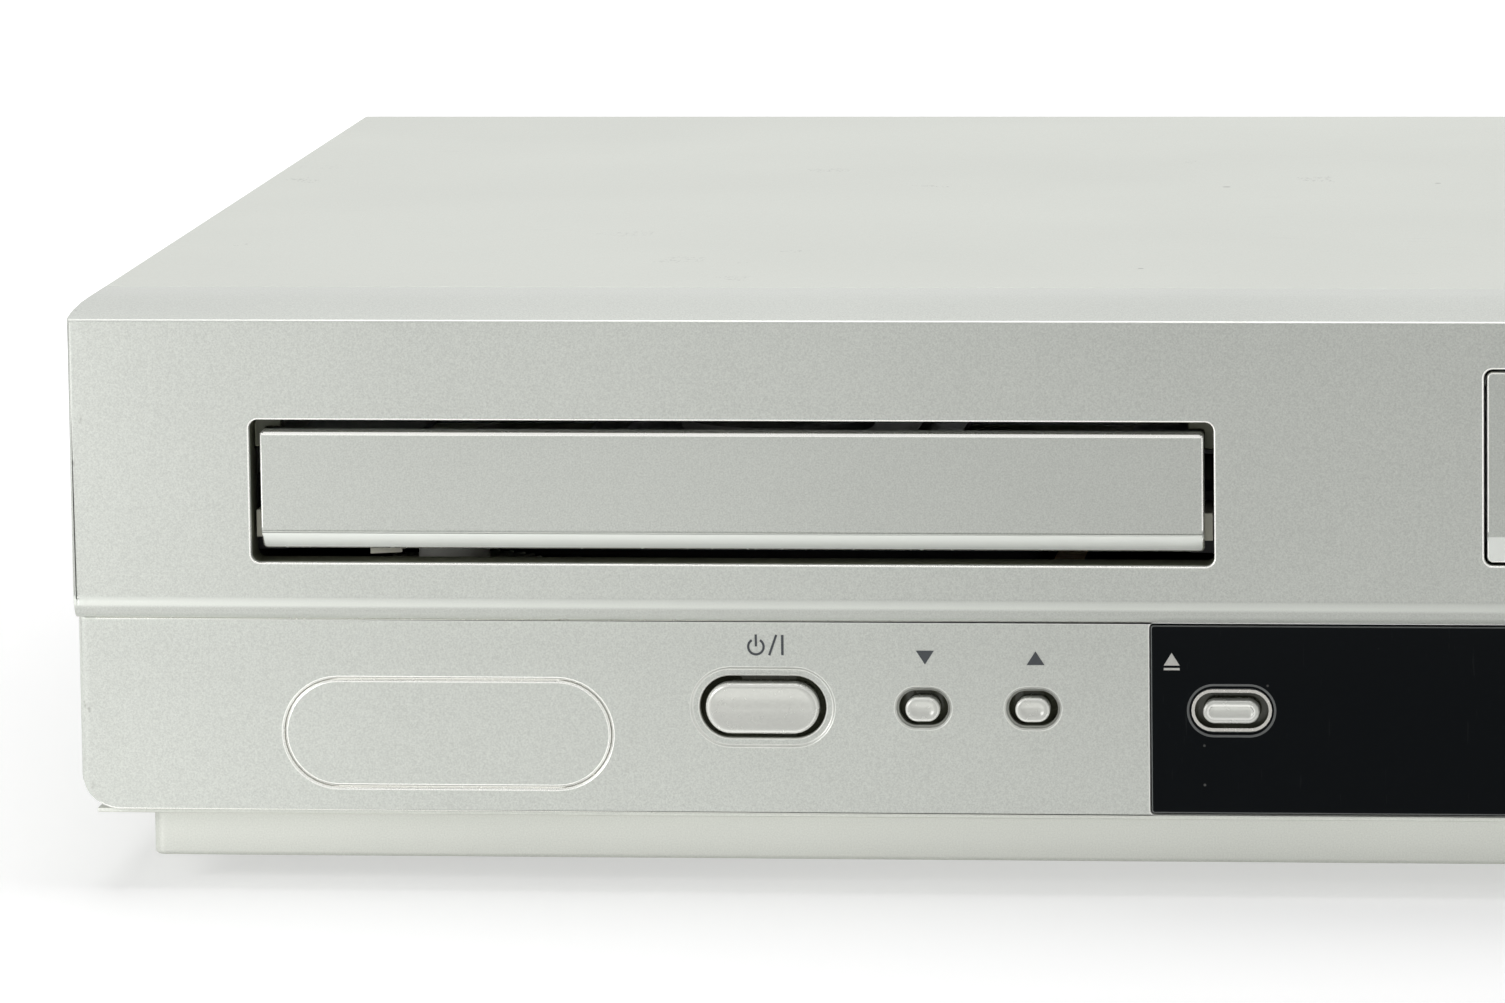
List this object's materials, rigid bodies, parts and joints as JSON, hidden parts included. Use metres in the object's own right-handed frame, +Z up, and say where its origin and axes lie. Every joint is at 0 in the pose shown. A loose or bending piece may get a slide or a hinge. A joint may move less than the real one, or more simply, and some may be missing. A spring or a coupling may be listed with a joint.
{
  "type": "disc and cassette deck",
  "caption": "Silver home deck with a front-loading disc drawer, cassette flap, dark display window, push keys and rear sockets",
  "frame": {"origin": "centre of the plan on the plane that the feet stand on", "axes": "+X to the right seen from the front, -Y out of the front, +Z up"},
  "size_m": [0.4312, 0.2964, 0.0942],
  "materials": {
    "cover_paint": "smooth satin silver-grey paint",
    "bezel_silver": "silver metallic lacquer on moulded plastic",
    "pan_paint": "silver paint on pressed steel",
    "plated_steel": "zinc-plated sheet",
    "foot_rubber": "matt",
    "dark_steel": "blackened",
    "window_black": "polished smoked acrylic",
    "key_silver": "pearl silver lacquer",
    "cream_plastic": "moulded",
    "black_plastic": "moulded",
    "white_plastic": "acetal",
    "belt_rubber": "ground",
    "cast_metal": "die cast",
    "polished_steel": "ground and polished",
    "damper_rubber": "soft",
    "board_green": "circuit board",
    "board_tan": "circuit board",
    "turned_aluminium": "fine turned",
    "tube_glass": "display tube",
    "socket_plastic": "coloured socket"
  },
  "bodies": {
    "case": {"base_pan": "pan_paint", "capstan_stator": "board_green", "carriage_guides": "plated_steel", "case_screws": "dark_steel", "clamp_bridge": "plated_steel", "deck_chassis": "plated_steel", "disc_board": "board_green", "display_tube": "tube_glass", "display_window": "window_black", "drive_belt": "belt_rubber", "feet": "foot_rubber", "front_bezel": "bezel_silver", "front_board": "board_tan", "front_sockets": "socket_plastic", "head_drum_lower": "turned_aluminium", "loader_dampers": "damper_rubber", "loader_frame": "black_plastic", "loader_motor": "plated_steel", "main_board": "board_green", "mains_inlet": "black_plastic", "power_board": "board_tan", "rear_panel": "plated_steel", "rear_phonos": "socket_plastic", "scart_sockets": "black_plastic", "top_cover": "cover_paint", "tuner_can": "plated_steel"},
    "drawer": {"drawer_door": "bezel_silver", "disc_tray": "cream_plastic"},
    "drive_gear": {"loader_drive_gear": "white_plastic"},
    "pulley_gear": {"loader_pulley_gear": "white_plastic"},
    "motor_pulley": {"loader_motor_pulley": "white_plastic"},
    "traverse": {"traverse_frame": "black_plastic", "spindle_motor": "plated_steel", "guide_rods": "polished_steel", "sled_motor": "plated_steel"},
    "turntable_body": {"turntable": "black_plastic"},
    "sled": {"pickup_sled": "cast_metal"},
    "feed_screw": {"lead_screw": "polished_steel"},
    "clamp": {"clamp_puck": "white_plastic"},
    "flap": {"tape_flap": "bezel_silver"},
    "carriage": {"cassette_carriage": "plated_steel"},
    "holder": {"cassette_holder": "plated_steel"},
    "supply_reel": {"supply_reel_table": "black_plastic"},
    "takeup_reel": {"takeup_reel_table": "black_plastic"},
    "head_drum": {"head_drum_upper": "turned_aluminium"},
    "capstan_body": {"capstan": "polished_steel"},
    "pinch_roller": {"pinch_arm": "dark_steel"},
    "power_key": {"power_button": "key_silver"},
    "programme_down_key": {"programme_down_button": "key_silver"},
    "programme_up_key": {"programme_up_button": "key_silver"},
    "disc_eject_key": {"disc_eject_button": "key_silver"},
    "tape_eject_key": {"tape_eject_button": "key_silver"},
    "rewind_key": {"rewind_button": "key_silver"},
    "forward_key": {"forward_button": "key_silver"},
    "play_key": {"play_button": "key_silver"},
    "stop_key": {"stop_button": "key_silver"},
    "record_key": {"record_button": "key_silver"}
  },
  "joints": [
    {"name": "drawer_slide", "type": "slide", "parent": "case", "child": "drawer", "axis": [0, -1, 0], "range_m": [0, 0.132]},
    {"name": "drive_gear_turn", "type": "hinge", "parent": "case", "child": "drive_gear", "pos_m": [-0.1567, -0.12725, 0.05], "axis": [0, 0, 1], "range_deg": [0, 1081]},
    {"name": "pulley_gear_turn", "type": "hinge", "parent": "case", "child": "pulley_gear", "pos_m": [-0.1375, -0.12725, 0.046], "axis": [0, 0, 1], "range_deg": [-3242, 0]},
    {"name": "motor_pulley_turn", "type": "hinge", "parent": "case", "child": "motor_pulley", "pos_m": [-0.1035, -0.11425, 0.045], "axis": [0, 0, 1], "range_deg": [-14862, 0]},
    {"name": "traverse_drop", "type": "hinge", "parent": "case", "child": "traverse", "pos_m": [-0.1097, 0.03075, 0.046], "axis": [1, 0, 0], "range_deg": [0, 4]},
    {"name": "turntable_spin", "type": "hinge", "parent": "traverse", "child": "turntable_body", "pos_m": [-0.1097, -0.07825, 0.058], "axis": [0, 0, 1], "continuous": true},
    {"name": "sled_slide", "type": "slide", "parent": "traverse", "child": "sled", "axis": [0, 1, 0], "range_m": [0, 0.034]},
    {"name": "lead_screw_turn", "type": "hinge", "parent": "traverse", "child": "feed_screw", "pos_m": [-0.0747, -0.03825, 0.0512], "axis": [0, 1, 0], "range_deg": [0, 4081]},
    {"name": "clamp_spin", "type": "hinge", "parent": "case", "child": "clamp", "pos_m": [-0.1097, -0.07825, 0.063], "axis": [0, 0, 1], "continuous": true},
    {"name": "flap_hinge", "type": "hinge", "parent": "case", "child": "flap", "pos_m": [0.106, -0.14325, 0.0825], "axis": [1, 0, 0], "range_deg": [0, 85], "stiffness_Nm_per_rad": 0.004, "springref_deg": -57.3},
    {"name": "carriage_slide", "type": "slide", "parent": "case", "child": "carriage", "axis": [0, 1, 0], "range_m": [0, 0.022]},
    {"name": "holder_drop", "type": "slide", "parent": "carriage", "child": "holder", "axis": [0, 0, -1], "range_m": [0, 0.022]},
    {"name": "supply_reel_turn", "type": "hinge", "parent": "case", "child": "supply_reel", "pos_m": [0.05975, -0.06625, 0.028], "axis": [0, 0, 1], "continuous": true},
    {"name": "takeup_reel_turn", "type": "hinge", "parent": "case", "child": "takeup_reel", "pos_m": [0.15225, -0.06625, 0.028], "axis": [0, 0, 1], "continuous": true},
    {"name": "head_drum_spin", "type": "hinge", "parent": "case", "child": "head_drum", "pos_m": [0.106, 0.02375, 0.0232], "axis": [0, -0.0872, 0.9962], "continuous": true},
    {"name": "capstan_spin", "type": "hinge", "parent": "case", "child": "capstan_body", "pos_m": [0.162, 0.00175, 0.04], "axis": [0, 0, 1], "continuous": true},
    {"name": "pinch_arm_swing", "type": "hinge", "parent": "case", "child": "pinch_roller", "pos_m": [0.178, 0.01775, 0.036], "axis": [0, 0, 1], "range_deg": [-56.5, 0]},
    {"name": "power_press", "type": "slide", "parent": "case", "child": "power_key", "axis": [0, 1, 0], "range_m": [0, 0.0007], "stiffness_N_per_m": 400, "springref_m": -0.001},
    {"name": "programme_down_press", "type": "slide", "parent": "case", "child": "programme_down_key", "axis": [0, 1, 0], "range_m": [0, 0.0007], "stiffness_N_per_m": 400, "springref_m": -0.001},
    {"name": "programme_up_press", "type": "slide", "parent": "case", "child": "programme_up_key", "axis": [0, 1, 0], "range_m": [0, 0.0007], "stiffness_N_per_m": 400, "springref_m": -0.001},
    {"name": "disc_eject_press", "type": "slide", "parent": "case", "child": "disc_eject_key", "axis": [0, 1, 0], "range_m": [0, 0.0007], "stiffness_N_per_m": 400, "springref_m": -0.001},
    {"name": "tape_eject_press", "type": "slide", "parent": "case", "child": "tape_eject_key", "axis": [0, 1, 0], "range_m": [0, 0.0007], "stiffness_N_per_m": 400, "springref_m": -0.001},
    {"name": "rewind_press", "type": "slide", "parent": "case", "child": "rewind_key", "axis": [0, 1, 0], "range_m": [0, 0.0007], "stiffness_N_per_m": 400, "springref_m": -0.001},
    {"name": "forward_press", "type": "slide", "parent": "case", "child": "forward_key", "axis": [0, 1, 0], "range_m": [0, 0.0007], "stiffness_N_per_m": 400, "springref_m": -0.001},
    {"name": "play_press", "type": "slide", "parent": "case", "child": "play_key", "axis": [0, 1, 0], "range_m": [0, 0.0007], "stiffness_N_per_m": 400, "springref_m": -0.001},
    {"name": "stop_press", "type": "slide", "parent": "case", "child": "stop_key", "axis": [0, 1, 0], "range_m": [0, 0.0007], "stiffness_N_per_m": 400, "springref_m": -0.001},
    {"name": "record_press", "type": "slide", "parent": "case", "child": "record_key", "axis": [0, 1, 0], "range_m": [0, 0.0007], "stiffness_N_per_m": 400, "springref_m": -0.001}
  ],
  "couplings": [
    {"joint": "drive_gear_turn", "follows": "drawer_slide", "rad_per_m": 142.86},
    {"joint": "pulley_gear_turn", "follows": "drawer_slide", "rad_per_m": -428.57},
    {"joint": "motor_pulley_turn", "follows": "drawer_slide", "rad_per_m": -1965},
    {"joint": "lead_screw_turn", "follows": "sled_slide", "rad_per_m": 2094.4},
    {"joint": "clamp_spin", "follows": "turntable_spin", "ratio": 1}
  ]
}
